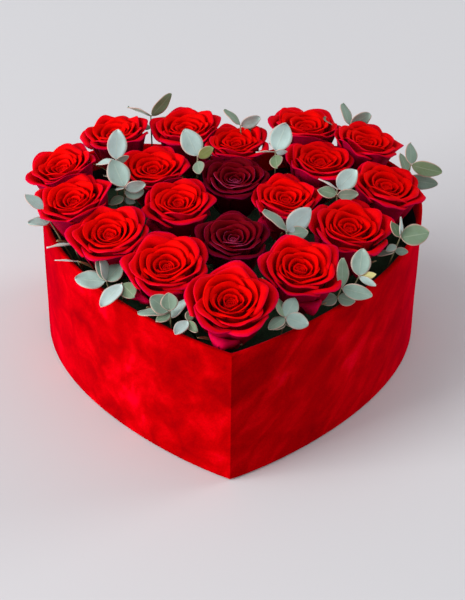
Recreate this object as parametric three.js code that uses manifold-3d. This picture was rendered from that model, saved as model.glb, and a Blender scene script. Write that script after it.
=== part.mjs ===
// A heart-shaped flower box: a velvet-covered cardboard box that holds a loose insert, which is a
// waterproof tray with floral foam, cut roses and sprigs of eucalyptus.
// Millimetres, +Z up. The origin is the middle of the underside, and the heart's tip points to -Y.
import * as THREE from 'three';
import { mergeVertices } from 'three/addons/utils/BufferGeometryUtils.js';
import Module from 'manifold-3d';

// The box, measured over its velvet.
const BOX_WIDTH = 300;
const BOX_DEPTH = 275;
const BOX_HEIGHT = 120;
const WIDEST_Y = 57.5;
const LOBE_TOP_X = 75;
const NOTCH_Y = 102;
const TIP_HANDLE = 55;
const TIP_ANGLE = 26;
const SIDE_HANDLE = 94;
const LOBE_HANDLE = 44;
const NOTCH_HANDLE = { x: 16, y: 20 };
const SIDE_STEPS = 11;
const LOBE_STEPS = 6;

// Sheet thicknesses, and the gap left where two pieces are glued, rest or run.
const VELVET = 0.6;
const WALL = 2;
const BASE = 2;
const LINING = 0.4;
const BASE_SHEET = 0.5;
const GLUE = 0.2;
const GAP = 0.3;

// How far the velvet is turned over the rim and under the base.
const TURN_IN = 18;
const TURN_UNDER = 14;
const SHEET_INSET = 6;

// The insert.
const TRAY_CLEARANCE = 2.5;
const TRAY_WALL = 0.8;
const TRAY_TOP = 78;
const FOAM_TOP = 84;
const FOAM_CLEARANCE = 0.6;

// Roses: a head's height is a share of its radius, and its stem runs into the foam. The profile is
// a flared cup with a domed top, in shares of the radius and the height.
const HEAD_HEIGHT = 1.5;
const HEAD_SIDES = 10;
const HEAD_PROFILE = [
  [0, 0], [0.26, 0.01], [0.64, 0.24], [0.9, 0.56],
  [1, 0.8], [0.84, 0.92], [0.42, 1], [0, 1],
];
const STEM_RADIUS = 3;
const STEM_SIDES = 6;
const STEM_IN_FOAM = 45;
const RECEPTACLE_RADIUS = 7;
const RECEPTACLE_HEIGHT = 8;
const RECEPTACLE_SHOULDER = 0.35;
const RECEPTACLE_MOUTH = 0.8;
const OUTWARD_LEAN = 0.24;
const FORWARD_LEAN = 0.06;
const CROWN_CENTRE_Y = 12;
const CROWN_RADIUS = 130;

// Sprigs. A leaf's edge is in shares of its length and of half its width.
const TWIG_RADIUS = 0.9;
const TWIG_SIDES = 5;
const TWIG_IN_FOAM = 22;
const LEAF_THICKNESS = 0.8;
const LEAF_EDGE = [[0, 0.1], [0.25, 0.8], [0.6, 0.95], [1, 0.12]];
const LEAF_FACE = new THREE.Vector3(0, -0.5, 0.85);

// Rose heads from the back row to the tip: x and y of the bloom's middle, the height of its top
// above the rim, its radius and its colour.
const ROSES = [
  [-94, 101, 37, 29, 'red'],
  [-37, 106, 39, 31, 'red'],
  [3, 87, 37, 27, 'red'],
  [59, 111, 39, 31, 'red'],
  [107, 91, 37, 29, 'red'],
  [-134, 55, 34, 29, 'red'],
  [-62, 51, 36, 30, 'red'],
  [2, 41, 34, 28, 'dark'],
  [69, 64, 36, 29, 'red'],
  [-122, 15, 31, 31, 'red'],
  [-41, 11, 32, 29, 'red'],
  [1, -30, 29, 28, 'dark'],
  [41, 18, 32, 29, 'red'],
  [120, 38, 31, 31, 'red'],
  [-92, -24, 28, 32, 'red'],
  [89, -13, 28, 33, 'red'],
  [-48, -62, 28, 34, 'red'],
  [50, -65, 28, 32, 'red'],
  [-1, -102, 26, 34, 'red'],
];

// Eucalyptus sprigs: where each enters the foam, then its twigs. A twig has its top's place, with
// the height above the rim, and its leaves: compass heading, rise, length, drop below the top, roll
// about the leaf's own length, and width as a share of the length.
const SPRIGS = [
  {
    foot: [-64, 112],
    twigs: [
      {
        top: [-66, 120, 37],
        leaves: [
          [165, 20, 20, 0, 78, 0.6], [35, 32, 25, 0, 55, 0.42], [175, 15, 16, 11, 30, 0.68],
          [20, 20, 17, 11, 40, 0.6],
        ],
      },
    ],
  },
  {
    foot: [14, 96],
    twigs: [
      {
        top: [6, 101, 41],
        leaves: [
          [148, 36, 18, 0, 48, 0.68], [8, 18, 17, 0, 58, 0.6], [3, 8, 18, 8, 45, 0.6],
        ],
      },
    ],
  },
  {
    foot: [86, 104],
    twigs: [
      {
        top: [94, 112, 35],
        leaves: [
          [115, 42, 19, 0, 50, 0.68], [20, 22, 19, 0, 60, 0.68], [145, 32, 26, 12, 66, 0.5],
        ],
      },
    ],
  },
  {
    foot: [124, 70],
    twigs: [
      {
        top: [139, 60, 32],
        leaves: [
          [88, 40, 18, 0, 32, 0.68], [-14, -9, 25, 0, 52, 0.5], [110, 42, 18, 10, 40, 0.68],
          [-12, -8, 25, 14, 55, 0.5],
        ],
      },
    ],
  },
  {
    foot: [-88, 34],
    twigs: [
      {
        top: [-90, 47, 42],
        leaves: [
          [86, 48, 24, 0, 22, 0.64], [192, -2, 15, 0, 36, 0.68], [175, 0, 10, 13, 35, 0.7],
          [20, 10, 11, 1, 60, 0.55],
        ],
      },
      {
        top: [-82, 20, 35],
        leaves: [
          [122, 40, 24, 0, 0, 0.72], [6, 4, 16, 0, 60, 0.65], [195, -8, 7, 0, 50, 0.7],
          [5, 6, 15, 6, 12, 0.75], [205, -12, 13, 10, 15, 0.68], [-20, -5, 9, 12, 35, 0.6],
        ],
      },
    ],
  },
  {
    foot: [-30, 44],
    twigs: [
      {
        top: [-27, 53, 42],
        leaves: [
          [125, 45, 24, 0, 8, 0.72], [35, 12, 15, 0, 50, 0.6], [-80, -10, 13, 4, 20, 0.75],
        ],
      },
    ],
  },
  {
    foot: [34, 50],
    twigs: [
      {
        top: [33, 55, 46],
        leaves: [
          [62, 42, 24, 0, 0, 0.72], [180, 2, 15, 0, 68, 0.6], [-3, 0, 9, 0, 66, 0.7],
          [-85, -5, 15, 3, 15, 0.7],
        ],
      },
    ],
  },
  {
    foot: [82, 22],
    twigs: [
      {
        top: [79, 13, 40],
        leaves: [
          [155, 22, 16, 0, 62, 0.62], [40, 28, 21, 0, 26, 0.7], [170, 10, 15, 5, 5, 0.72],
          [-3, 3, 16, 5, 55, 0.6],
        ],
      },
    ],
  },
  {
    foot: [46, -22],
    twigs: [
      {
        top: [40, -30, 31],
        leaves: [
          [150, 35, 23, 0, 52, 0.68], [35, 30, 25, 0, 34, 0.66], [0, 10, 16, 3, 20, 0.68],
        ],
      },
    ],
  },
  {
    foot: [-104, -4],
    twigs: [
      {
        top: [-143, 3, 26],
        leaves: [
          [150, 30, 18, 0, 28, 0.68], [190, 5, 17, 12, 30, 0.6],
        ],
      },
      {
        top: [-119, -20, 10],
        leaves: [
          [182, 0, 20, 0, 58, 0.6], [115, 35, 10, 0, 20, 0.45], [75, 45, 13, 0, 40, 0.5],
        ],
      },
      {
        top: [-115, -33, 4],
        leaves: [
          [180, 4, 17, 0, 66, 0.5],
        ],
      },
    ],
  },
  {
    foot: [-80, -50],
    twigs: [
      {
        top: [-92, -61, 7],
        leaves: [
          [178, 4, 23, 0, 12, 0.66], [100, 55, 18, 0, 60, 0.66], [115, 40, 18, 0, 30, 0.6],
          [45, 30, 17, 0, 0, 0.8],
        ],
      },
      {
        top: [-80, -65, 8],
        leaves: [
          [235, -12, 26, 0, 18, 0.5], [-55, -3, 17, 0, 5, 0.75],
        ],
      },
    ],
  },
  {
    foot: [-42, -86],
    twigs: [
      {
        top: [-44, -103, 13],
        leaves: [
          [165, 32, 17, 0, 0, 0.85], [100, 60, 13, 0, 0, 0.95], [181, -2, 23, 1, 35, 0.35],
          [48, 32, 19, 9, -38, 0.62], [215, -8, 12, 3, 10, 0.7],
        ],
      },
      {
        top: [-31, -108, 8],
        leaves: [
          [232, -8, 15, 0, 15, 0.6], [-60, -8, 12, 0, 25, 0.5], [75, 25, 9, 0, 10, 0.7],
        ],
      },
    ],
  },
  {
    foot: [30, -88],
    twigs: [
      {
        top: [38, -107, 11],
        leaves: [
          [125, 38, 17, 0, 42, 0.68], [215, -10, 15, 0, 15, 0.6], [60, 30, 17, 0, 6, 0.7],
          [-12, -10, 17, 0, 8, 0.68], [225, -8, 11, 4, 10, 0.7], [-3, 10, 15, 6, 2, 0.55],
        ],
      },
    ],
  },
  {
    foot: [66, -55],
    twigs: [
      {
        top: [79, -78, 16],
        leaves: [
          [85, 42, 22, 0, 32, 0.45], [-12, -9, 23, 0, 40, 0.5], [-15, -5, 13, 12, 6, 0.8],
          [195, -8, 13, 12, 5, 0.8],
        ],
      },
      {
        top: [92, -70, 20],
        leaves: [
          [80, 40, 21, 0, 4, 0.68], [5, 12, 13, 1, 10, 0.45], [-28, -12, 14, 0, 20, 0.35],
        ],
      },
    ],
  },
  {
    foot: [106, -16],
    twigs: [
      {
        top: [125, -24, 22],
        leaves: [
          [125, 35, 14, 0, 25, 0.68], [88, 42, 16, 0, 72, 0.6], [6, 9, 22, 0, 4, 0.74],
          [-8, 0, 10, 13, 45, 0.6], [200, -6, 14, 13, 40, 0.6], [205, -12, 9, 8, 15, 0.7],
        ],
      },
    ],
  },
];

const MATERIALS = {
  velvet: { color: 0xb80008, roughness: 0.95, metalness: 0 },
  cardboard: { color: 0x9c8f80, roughness: 0.9, metalness: 0 },
  lining: { color: 0x141214, roughness: 0.8, metalness: 0 },
  sheet: { color: 0x1a1a1c, roughness: 0.85, metalness: 0 },
  tray: { color: 0x20242a, roughness: 0.35, metalness: 0 },
  foam: { color: 0x2f5a35, roughness: 1, metalness: 0 },
  red: { color: 0xd40a10, roughness: 0.6, metalness: 0 },
  dark: { color: 0x5c0418, roughness: 0.6, metalness: 0 },
  stem: { color: 0x4f7a34, roughness: 0.6, metalness: 0 },
  leaf: { color: 0x9fb8a8, roughness: 0.65, metalness: 0 },
};

const UP = new THREE.Vector3(0, 0, 1);
const wasm = await Module();
wasm.setup();

// A closed geometry as a manifold-3d solid.
function toSolid(geometry) {
  const bare = geometry.clone();
  bare.deleteAttribute('normal');
  bare.deleteAttribute('uv');
  const merged = mergeVertices(bare, 1e-4);
  return new wasm.Manifold(new wasm.Mesh({
    numProp: 3,
    vertProperties: new Float32Array(merged.attributes.position.array),
    triVerts: new Uint32Array(merged.index.array),
  }));
}

// A manifold-3d solid as a flat-shaded geometry.
function toGeometry(solid) {
  const { vertProperties, triVerts } = solid.getMesh();
  const geometry = new THREE.BufferGeometry();
  geometry.setAttribute('position', new THREE.BufferAttribute(new Float32Array(vertProperties), 3));
  geometry.setIndex(new THREE.BufferAttribute(new Uint32Array(triVerts), 1));
  const flat = geometry.toNonIndexed();
  flat.computeVertexNormals();
  return flat;
}

function join(geometries) {
  return geometries.map(toSolid).reduce((whole, piece) => whole.add(piece));
}

function largestBody(solid) {
  return solid.decompose().reduce((a, b) => (a.volume() > b.volume() ? a : b));
}

function meshOf(name, geometry, material) {
  const mesh = new THREE.Mesh(geometry, new THREE.MeshStandardMaterial(MATERIALS[material]));
  mesh.name = name;
  return mesh;
}

// The heart's outline as a closed run of points, each with the way that it moves inwards. At the
// tip and the notch that step is longer, so that an inset keeps its distance from both sides.
function heartOutline() {
  const tip = new THREE.Vector2(0, -BOX_DEPTH / 2);
  const widest = new THREE.Vector2(BOX_WIDTH / 2, WIDEST_Y);
  const lobeTop = new THREE.Vector2(LOBE_TOP_X, BOX_DEPTH / 2);
  const notch = new THREE.Vector2(0, NOTCH_Y);
  const tipTurn = THREE.MathUtils.degToRad(TIP_ANGLE);
  const tipWay = new THREE.Vector2(Math.cos(tipTurn), Math.sin(tipTurn));
  const side = new THREE.CubicBezierCurve(
    tip,
    tip.clone().addScaledVector(tipWay, TIP_HANDLE),
    new THREE.Vector2(widest.x, widest.y - SIDE_HANDLE),
    widest,
  );
  const outerLobe = new THREE.CubicBezierCurve(
    widest,
    new THREE.Vector2(widest.x, widest.y + LOBE_HANDLE),
    new THREE.Vector2(lobeTop.x + LOBE_HANDLE, lobeTop.y),
    lobeTop,
  );
  const innerLobe = new THREE.CubicBezierCurve(
    lobeTop,
    new THREE.Vector2(lobeTop.x - LOBE_HANDLE, lobeTop.y),
    new THREE.Vector2(NOTCH_HANDLE.x, NOTCH_Y + NOTCH_HANDLE.y),
    notch,
  );
  const right = [];
  for (const [curve, steps] of [[side, SIDE_STEPS], [outerLobe, LOBE_STEPS], [innerLobe, LOBE_STEPS]]) {
    for (let i = 0; i < steps; i += 1) {
      const along = curve.getTangent(i / steps);
      right.push({ point: curve.getPoint(i / steps), inward: new THREE.Vector2(-along.y, along.x) });
    }
  }
  const endWay = innerLobe.getTangent(1);
  right[0].inward.set(0, 1 / Math.cos(THREE.MathUtils.degToRad(TIP_ANGLE)));
  right.push({ point: notch, inward: new THREE.Vector2(0, 1 / endWay.x) });
  const left = right.slice(1, -1).reverse().map(({ point, inward }) => ({
    point: new THREE.Vector2(-point.x, point.y),
    inward: new THREE.Vector2(-inward.x, inward.y),
  }));
  return [...right, ...left];
}

const OUTLINE = heartOutline();

function inset(distance) {
  return OUTLINE.map(({ point, inward }) => point.clone().addScaledVector(inward, distance));
}

// A heart-shaped plate, with its edge at an inset from the outline.
function plate(edge, bottom, top) {
  const shape = new THREE.Shape(inset(edge));
  const solid = new THREE.ExtrudeGeometry(shape, { depth: top - bottom, bevelEnabled: false });
  return solid.translate(0, 0, bottom);
}

// A heart-shaped wall between two insets.
function wall(outer, inner, bottom, top) {
  const shape = new THREE.Shape(inset(outer));
  shape.holes.push(new THREE.Path(inset(inner)));
  const solid = new THREE.ExtrudeGeometry(shape, { depth: top - bottom, bevelEnabled: false });
  return solid.translate(0, 0, bottom);
}

// Insets and heights of the box's layers, from the outside in and from the floor up.
const wallOuter = VELVET + GLUE;
const wallInner = wallOuter + WALL;
const turnInOuter = wallInner + GLUE;
const boxInner = turnInOuter + VELVET;
const turnUnderBottom = BASE_SHEET + GLUE;
const boardBottom = turnUnderBottom + VELVET + GLUE;
const baseTop = boardBottom + BASE;
const wallTop = BOX_HEIGHT - VELVET - GLUE;
const turnInBottom = BOX_HEIGHT - TURN_IN;
const trayOuter = boxInner + TRAY_CLEARANCE;
const trayBottom = baseTop + GAP;
const foamEdge = trayOuter + TRAY_WALL + FOAM_CLEARANCE;
const foamBottom = trayBottom + TRAY_WALL + GAP;

function makeBox() {
  const box = new THREE.Group();
  box.add(meshOf('wall_board', wall(wallOuter, wallInner, boardBottom, wallTop), 'cardboard'));
  box.add(meshOf('base_board', plate(wallInner + GAP, boardBottom, baseTop), 'cardboard'));
  box.add(meshOf('base_sheet', plate(SHEET_INSET, 0, BASE_SHEET), 'sheet'));
  const lining = wall(turnInOuter, turnInOuter + LINING, baseTop + GAP, turnInBottom - GAP);
  box.add(meshOf('inner_lining', lining, 'lining'));
  const velvet = join([
    wall(0, VELVET, turnUnderBottom, BOX_HEIGHT),
    wall(0, boxInner, BOX_HEIGHT - VELVET, BOX_HEIGHT),
    wall(turnInOuter, boxInner, turnInBottom, BOX_HEIGHT),
    wall(0, TURN_UNDER, turnUnderBottom, turnUnderBottom + VELVET),
  ]);
  box.add(meshOf('velvet_cover', toGeometry(velvet), 'velvet'));
  return box;
}

// The bloom's middle, the way it faces, its size and the place where the head meets its stem.
function rosePlace([x, y, rise, radius, colour]) {
  const spread = Math.min(Math.hypot(x, y - CROWN_CENTRE_Y) / CROWN_RADIUS, 1);
  const lean = OUTWARD_LEAN * spread;
  const axis = new THREE.Vector3(
    (lean * x) / CROWN_RADIUS,
    (lean * (y - CROWN_CENTRE_Y)) / CROWN_RADIUS - FORWARD_LEAN,
    1,
  ).normalize();
  const top = new THREE.Vector3(x, y, BOX_HEIGHT + rise);
  const base = top.clone().addScaledVector(axis, -HEAD_HEIGHT * radius);
  return { top, axis, radius, base, colour };
}

const PLACED_ROSES = ROSES.map(rosePlace);

function place(geometry, origin, axis) {
  const turn = new THREE.Quaternion().setFromUnitVectors(UP, axis);
  return geometry.applyQuaternion(turn).translate(origin.x, origin.y, origin.z);
}

// A solid of revolution from a profile of [radius, height] pairs, standing on its origin.
function revolve(profile, sides) {
  const points = profile.map(([radius, height]) => new THREE.Vector2(radius, height));
  return new THREE.LatheGeometry(points, sides).rotateX(Math.PI / 2);
}

function headShape({ radius, base, axis }) {
  const height = HEAD_HEIGHT * radius;
  const profile = HEAD_PROFILE.map(([r, h]) => [r * radius, h * height]);
  return place(revolve(profile, HEAD_SIDES), base, axis);
}

// What a bloom gives up to a neighbour: all that lies past the upright plane between the two.
function beyond(rose, neighbour) {
  const across = neighbour.top.clone().sub(rose.top).setZ(0);
  const distance = across.length();
  across.divideScalar(distance);
  const half = BOX_HEIGHT;
  const reach = (distance * rose.radius) / (rose.radius + neighbour.radius) - GAP / 2 + half;
  const block = new THREE.BoxGeometry(2 * half, 2 * half, 2 * half);
  block.rotateZ(Math.atan2(across.y, across.x));
  const centre = rose.top.clone().addScaledVector(across, reach);
  return toSolid(block.translate(centre.x, centre.y, centre.z));
}

function stemLine({ base, axis }) {
  const foot = (FOAM_TOP - STEM_IN_FOAM - base.z) / axis.z;
  return { foot: base.clone().addScaledVector(axis, foot), length: -foot };
}

function stemShape(rose) {
  const { length } = stemLine(rose);
  const top = length - GAP;
  return revolve([
    [0, 0],
    [STEM_RADIUS, 0],
    [STEM_RADIUS, top - RECEPTACLE_HEIGHT],
    [RECEPTACLE_RADIUS, top - RECEPTACLE_HEIGHT * RECEPTACLE_SHOULDER],
    [RECEPTACLE_RADIUS * RECEPTACLE_MOUTH, top],
    [0, top],
  ], STEM_SIDES);
}

function rod(from, to, radius, sides) {
  const way = to.clone().sub(from);
  const shape = new THREE.CylinderGeometry(radius, radius, way.length(), sides).rotateX(Math.PI / 2);
  shape.translate(0, 0, way.length() / 2);
  return place(shape, from, way.normalize());
}

function stemHole(rose) {
  const { foot } = stemLine(rose);
  const from = foot.addScaledVector(rose.axis, -1);
  return toSolid(rod(from, rose.base, STEM_RADIUS + GAP, STEM_SIDES));
}

// A flat oval leaf from its base, with growth on every side for the room it needs.
function leafShape(base, [heading, rise, length, roll, width], growth) {
  const turn = THREE.MathUtils.degToRad(heading);
  const tilt = THREE.MathUtils.degToRad(rise);
  const level = Math.cos(tilt);
  const way = new THREE.Vector3(Math.cos(turn) * level, Math.sin(turn) * level, Math.sin(tilt));
  const across = LEAF_FACE.clone().cross(way).normalize();
  across.applyAxisAngle(way, THREE.MathUtils.degToRad(roll));
  const face = way.clone().cross(across);
  const half = (width * length) / 2;
  const edge = LEAF_EDGE.map(([along, out]) => new THREE.Vector2(
    along * length + (along ? growth : -growth),
    out * half + growth,
  ));
  const otherEdge = edge.map(({ x, y }) => new THREE.Vector2(x, -y));
  const shape = new THREE.Shape([...otherEdge, ...edge.reverse()]);
  const depth = LEAF_THICKNESS + 2 * growth;
  const solid = new THREE.ExtrudeGeometry(shape, { depth, bevelEnabled: false });
  solid.translate(0, 0, -depth / 2);
  return solid.applyMatrix4(new THREE.Matrix4().makeBasis(way, across, face).setPosition(base));
}

// A sprig's twigs and leaves as one solid, grown on every side by the growth given.
function sprigSolid({ foot, twigs }, growth) {
  const pieces = [];
  const root = new THREE.Vector3(foot[0], foot[1], FOAM_TOP - TWIG_IN_FOAM - growth);
  for (const { top: [x, y, rise], leaves } of twigs) {
    const top = new THREE.Vector3(x, y, BOX_HEIGHT + rise);
    const down = root.clone().sub(top).normalize();
    pieces.push(rod(root, top, TWIG_RADIUS + growth, TWIG_SIDES));
    for (const [heading, lift, length, drop, roll, width] of leaves) {
      const base = top.clone().addScaledVector(down, drop + TWIG_RADIUS);
      pieces.push(leafShape(base, [heading, lift, length, roll, width], growth));
    }
  }
  return join(pieces);
}

function makeInsert() {
  const insert = new THREE.Group();
  const around = new THREE.BoxGeometry(2 * BOX_WIDTH, 2 * BOX_WIDTH, BOX_HEIGHT + GAP);
  around.translate(0, 0, (BOX_HEIGHT + GAP) / 2);
  const rim = toSolid(around).subtract(toSolid(plate(boxInner + GAP, -GAP, BOX_HEIGHT + 2 * GAP)));
  const sprigRoom = SPRIGS.map((sprig) => sprigSolid(sprig, GAP));
  const holes = [...PLACED_ROSES.map(stemHole), ...sprigRoom];

  const tray = join([
    plate(trayOuter, trayBottom, trayBottom + TRAY_WALL),
    wall(trayOuter, trayOuter + TRAY_WALL, trayBottom, TRAY_TOP),
  ]);
  insert.add(meshOf('liner_tray', toGeometry(tray), 'tray'));
  const foamPlate = toSolid(plate(foamEdge, foamBottom, FOAM_TOP));
  const foam = holes.reduce((block, hole) => block.subtract(hole), foamPlate);
  insert.add(meshOf('foam_block', toGeometry(foam), 'foam'));

  PLACED_ROSES.forEach((rose, index) => {
    const number = String(index + 1).padStart(2, '0');
    const near = PLACED_ROSES.filter((other) => other !== rose
      && Math.hypot(other.top.x - rose.top.x, other.top.y - rose.top.y) < other.radius + rose.radius + GAP);
    const cuts = [rim, ...near.map((other) => beyond(rose, other)), ...sprigRoom];
    const head = cuts.reduce((bloom, cut) => bloom.subtract(cut), toSolid(headShape(rose)));
    insert.add(meshOf(`rose_${number}_head`, toGeometry(largestBody(head)), rose.colour));
    const stem = meshOf(`rose_${number}_stem`, stemShape(rose), 'stem');
    stem.position.copy(stemLine(rose).foot);
    stem.quaternion.setFromUnitVectors(UP, rose.axis);
    insert.add(stem);
  });

  SPRIGS.forEach((sprig, index) => {
    const number = String(index + 1).padStart(2, '0');
    insert.add(meshOf(`eucalyptus_${number}`, toGeometry(sprigSolid(sprig, 0)), 'leaf'));
  });
  return insert;
}

const group = new THREE.Group();
group.add(makeBox(), makeInsert());

export default group;
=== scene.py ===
"""A heart-shaped velvet flower box with roses and eucalyptus. Metres, +Z up, the heart's tip to -Y."""

import math
import random

import bpy
import numpy as np
from mathutils import Matrix, Vector


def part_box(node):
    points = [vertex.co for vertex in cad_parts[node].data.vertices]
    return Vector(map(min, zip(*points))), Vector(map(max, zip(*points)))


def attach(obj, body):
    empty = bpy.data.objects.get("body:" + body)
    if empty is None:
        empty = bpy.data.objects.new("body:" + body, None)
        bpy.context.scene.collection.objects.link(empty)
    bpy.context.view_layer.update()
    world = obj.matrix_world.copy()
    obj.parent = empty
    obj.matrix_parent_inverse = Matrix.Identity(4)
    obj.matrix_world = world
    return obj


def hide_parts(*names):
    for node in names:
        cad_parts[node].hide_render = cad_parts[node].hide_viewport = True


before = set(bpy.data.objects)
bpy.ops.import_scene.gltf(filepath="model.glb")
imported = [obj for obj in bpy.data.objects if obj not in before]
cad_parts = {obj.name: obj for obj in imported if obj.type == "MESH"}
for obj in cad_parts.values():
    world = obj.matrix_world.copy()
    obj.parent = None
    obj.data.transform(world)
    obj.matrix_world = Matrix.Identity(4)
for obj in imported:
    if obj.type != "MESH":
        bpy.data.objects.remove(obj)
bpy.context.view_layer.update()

MM = 0.001

# ---------------------------------------------------------------- box
# The heart's outline over the velvet, as in the CAD model.
BOX_LOW, BOX_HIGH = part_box("velvet_cover")
HALF_WIDTH = BOX_HIGH.x
HALF_DEPTH = BOX_HIGH.y
RIM = BOX_HIGH.z
WIDEST_Y = 57.5 * MM
LOBE_TOP_X = 75 * MM
NOTCH_Y = 102 * MM
TIP_HANDLE = 55 * MM
TIP_ANGLE = math.radians(26)
SIDE_HANDLE = 94 * MM
LOBE_HANDLE = 44 * MM
NOTCH_HANDLE = (16 * MM, 20 * MM)

# Layers, as in the CAD model.
VELVET = 0.6 * MM
WALL = 2 * MM
LINING = 0.4 * MM
GLUE = 0.2 * MM
GAP = 0.3 * MM
TURN_UNDER = 14 * MM
WALL_OUTER = VELVET + GLUE
WALL_INNER = WALL_OUTER + WALL
TURN_IN_OUTER = WALL_INNER + GLUE
BOX_INNER = TURN_IN_OUTER + VELVET
TRAY_INSET = BOX_INNER + 2.5 * MM
TRAY_WALL = 0.8 * MM
FOAM_INSET = TRAY_INSET + TRAY_WALL + 0.6 * MM
TURN_IN_BOTTOM = RIM - 18 * MM

# ---------------------------------------------------------------- flowers
HEAD_HEIGHT = 1.5
DARK_ROSES = (8, 12)
FRONT_ROSE = 19
FRONT_PETAL = math.radians(-106)
FRONT_SEPAL = math.radians(-66)
ROSE_COUNT = sum(name.endswith("_head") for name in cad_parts)
RECEPTACLE = 7 * MM
SEPALS = 5

# Sprigs, as in the CAD model, in millimetres and degrees: where each enters the foam, then its
# twigs. A twig has its top, with the height above the rim, and its leaves: heading, rise, length,
# drop below the top, roll about the leaf's length, tone (0 dark, 1 pale, 2 a young yellow bud), and
# the width as a share of the length.
SPRIGS = [
    ((-64, 112), [((-66, 120, 37), [
        (165, 20, 20, 0, 78, 0.4, 0.6), (35, 32, 25, 0, 55, 0.0, 0.42),
        (175, 15, 16, 11, 30, 0.1, 0.68), (20, 20, 17, 11, 40, 0.05, 0.6),
    ])]),
    ((14, 96), [((6, 101, 41), [
        (148, 36, 18, 0, 48, 0.2, 0.68), (8, 18, 17, 0, 58, 0.7, 0.6), (3, 8, 18, 8, 45, 0.0, 0.6),
    ])]),
    ((86, 104), [((94, 112, 35), [
        (115, 42, 19, 0, 50, 0.35, 0.68), (20, 22, 19, 0, 60, 0.45, 0.68),
        (145, 32, 26, 12, 66, 0.2, 0.5),
    ])]),
    ((124, 70), [((139, 60, 32), [
        (88, 40, 18, 0, 32, 0.3, 0.68), (-14, -9, 25, 0, 52, 0.0, 0.5),
        (110, 42, 18, 10, 40, 0.15, 0.68), (-12, -8, 25, 14, 55, 0.35, 0.5),
    ])]),
    ((-88, 34), [
        ((-90, 47, 42), [
            (86, 48, 24, 0, 22, 0.95, 0.64), (192, -2, 15, 0, 36, 1.0, 0.68), (175, 0, 10, 13, 35, 0.1, 0.7),
            (20, 10, 11, 1, 60, 0.45, 0.55),
        ]),
        ((-82, 20, 35), [
            (122, 40, 24, 0, 0, 0.6, 0.72), (6, 4, 16, 0, 60, 1.0, 0.65), (195, -8, 7, 0, 50, 1.0, 0.7),
            (5, 6, 15, 6, 12, 0.45, 0.75), (205, -12, 13, 10, 15, 0.15, 0.68), (-20, -5, 9, 12, 35, 0.5, 0.6),
        ]),
    ]),
    ((-30, 44), [((-27, 53, 42), [
        (125, 45, 24, 0, 8, 0.75, 0.72), (35, 12, 15, 0, 50, 1.6, 0.6), (-80, -10, 13, 4, 20, 0.2, 0.75),
    ])]),
    ((34, 50), [((33, 55, 46), [
        (62, 42, 24, 0, 0, 0.8, 0.72), (180, 2, 15, 0, 68, 1.0, 0.6), (-3, 0, 9, 0, 66, 0.95, 0.7),
        (-85, -5, 15, 3, 15, 0.0, 0.7),
    ])]),
    ((82, 22), [((79, 13, 40), [
        (155, 22, 16, 0, 62, 0.9, 0.62), (40, 28, 21, 0, 26, 0.8, 0.7), (170, 10, 15, 5, 5, 0.12, 0.72),
        (-3, 3, 16, 5, 55, 0.3, 0.6),
    ])]),
    ((46, -22), [((40, -30, 31), [
        (150, 35, 23, 0, 52, 0.35, 0.68), (35, 30, 25, 0, 34, 0.9, 0.66), (0, 10, 16, 3, 20, 0.3, 0.68),
    ])]),
    ((-104, -4), [
        ((-143, 3, 26), [(150, 30, 18, 0, 28, 0.7, 0.68), (190, 5, 17, 12, 30, 0.75, 0.6)]),
        ((-119, -20, 10), [
            (182, 0, 20, 0, 58, 0.8, 0.6), (115, 35, 10, 0, 20, 2.0, 0.45), (75, 45, 13, 0, 40, 0.2, 0.5),
        ]),
        ((-115, -33, 4), [(180, 4, 17, 0, 66, 0.9, 0.5)]),
    ]),
    ((-80, -50), [
        ((-92, -61, 7), [
            (178, 4, 23, 0, 12, 0.65, 0.66), (100, 55, 18, 0, 60, 1.0, 0.66), (115, 40, 18, 0, 30, 0.35, 0.6),
            (45, 30, 17, 0, 0, 0.4, 0.8),
        ]),
        ((-80, -65, 8), [(235, -12, 26, 0, 18, 0.95, 0.5), (-55, -3, 17, 0, 5, 0.05, 0.75)]),
    ]),
    ((-42, -86), [
        ((-44, -103, 13), [
            (165, 32, 17, 0, 0, 0.3, 0.85), (100, 60, 13, 0, 0, 0.25, 0.95), (181, -2, 23, 1, 35, 0.4, 0.35),
            (48, 32, 19, 9, -38, 1.0, 0.62), (215, -8, 12, 3, 10, 0.15, 0.7),
        ]),
        ((-31, -108, 8), [
            (232, -8, 15, 0, 15, 0.85, 0.6), (-60, -8, 12, 0, 25, 0.05, 0.5), (75, 25, 9, 0, 10, 0.1, 0.7),
        ]),
    ]),
    ((30, -88), [((38, -107, 11), [
        (125, 38, 17, 0, 42, 0.1, 0.68), (215, -10, 15, 0, 15, 0.3, 0.6), (60, 30, 17, 0, 6, 0.55, 0.7),
        (-12, -10, 17, 0, 8, 0.6, 0.68), (225, -8, 11, 4, 10, 0.15, 0.7), (-3, 10, 15, 6, 2, 0.3, 0.55),
    ])]),
    ((66, -55), [
        ((79, -78, 16), [
            (85, 42, 22, 0, 32, 0.2, 0.45), (-12, -9, 23, 0, 40, 0.45, 0.5),
            (-15, -5, 13, 12, 6, 0.3, 0.8), (195, -8, 13, 12, 5, 0.3, 0.8),
        ]),
        ((92, -70, 20), [
            (80, 40, 21, 0, 4, 0.5, 0.68), (5, 12, 13, 1, 10, 2.0, 0.45), (-28, -12, 14, 0, 20, 0.75, 0.35),
        ]),
    ]),
    ((106, -16), [((125, -24, 22), [
        (125, 35, 14, 0, 25, 0.0, 0.68), (88, 42, 16, 0, 72, 0.9, 0.6), (6, 9, 22, 0, 4, 0.1, 0.74),
        (-8, 0, 10, 13, 45, 0.35, 0.6), (200, -6, 14, 13, 40, 0.3, 0.6), (205, -12, 9, 8, 15, 0.6, 0.7),
    ])]),
]
TWIG_IN_FOAM = 22 * MM
TWIG_RADIUS = 0.9 * MM
TWIG_SIDES = 8
TWIG_STEPS = 9
TWIG_BOW = 0.8 * MM
LEAF_THICKNESS = 0.5 * MM
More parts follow.
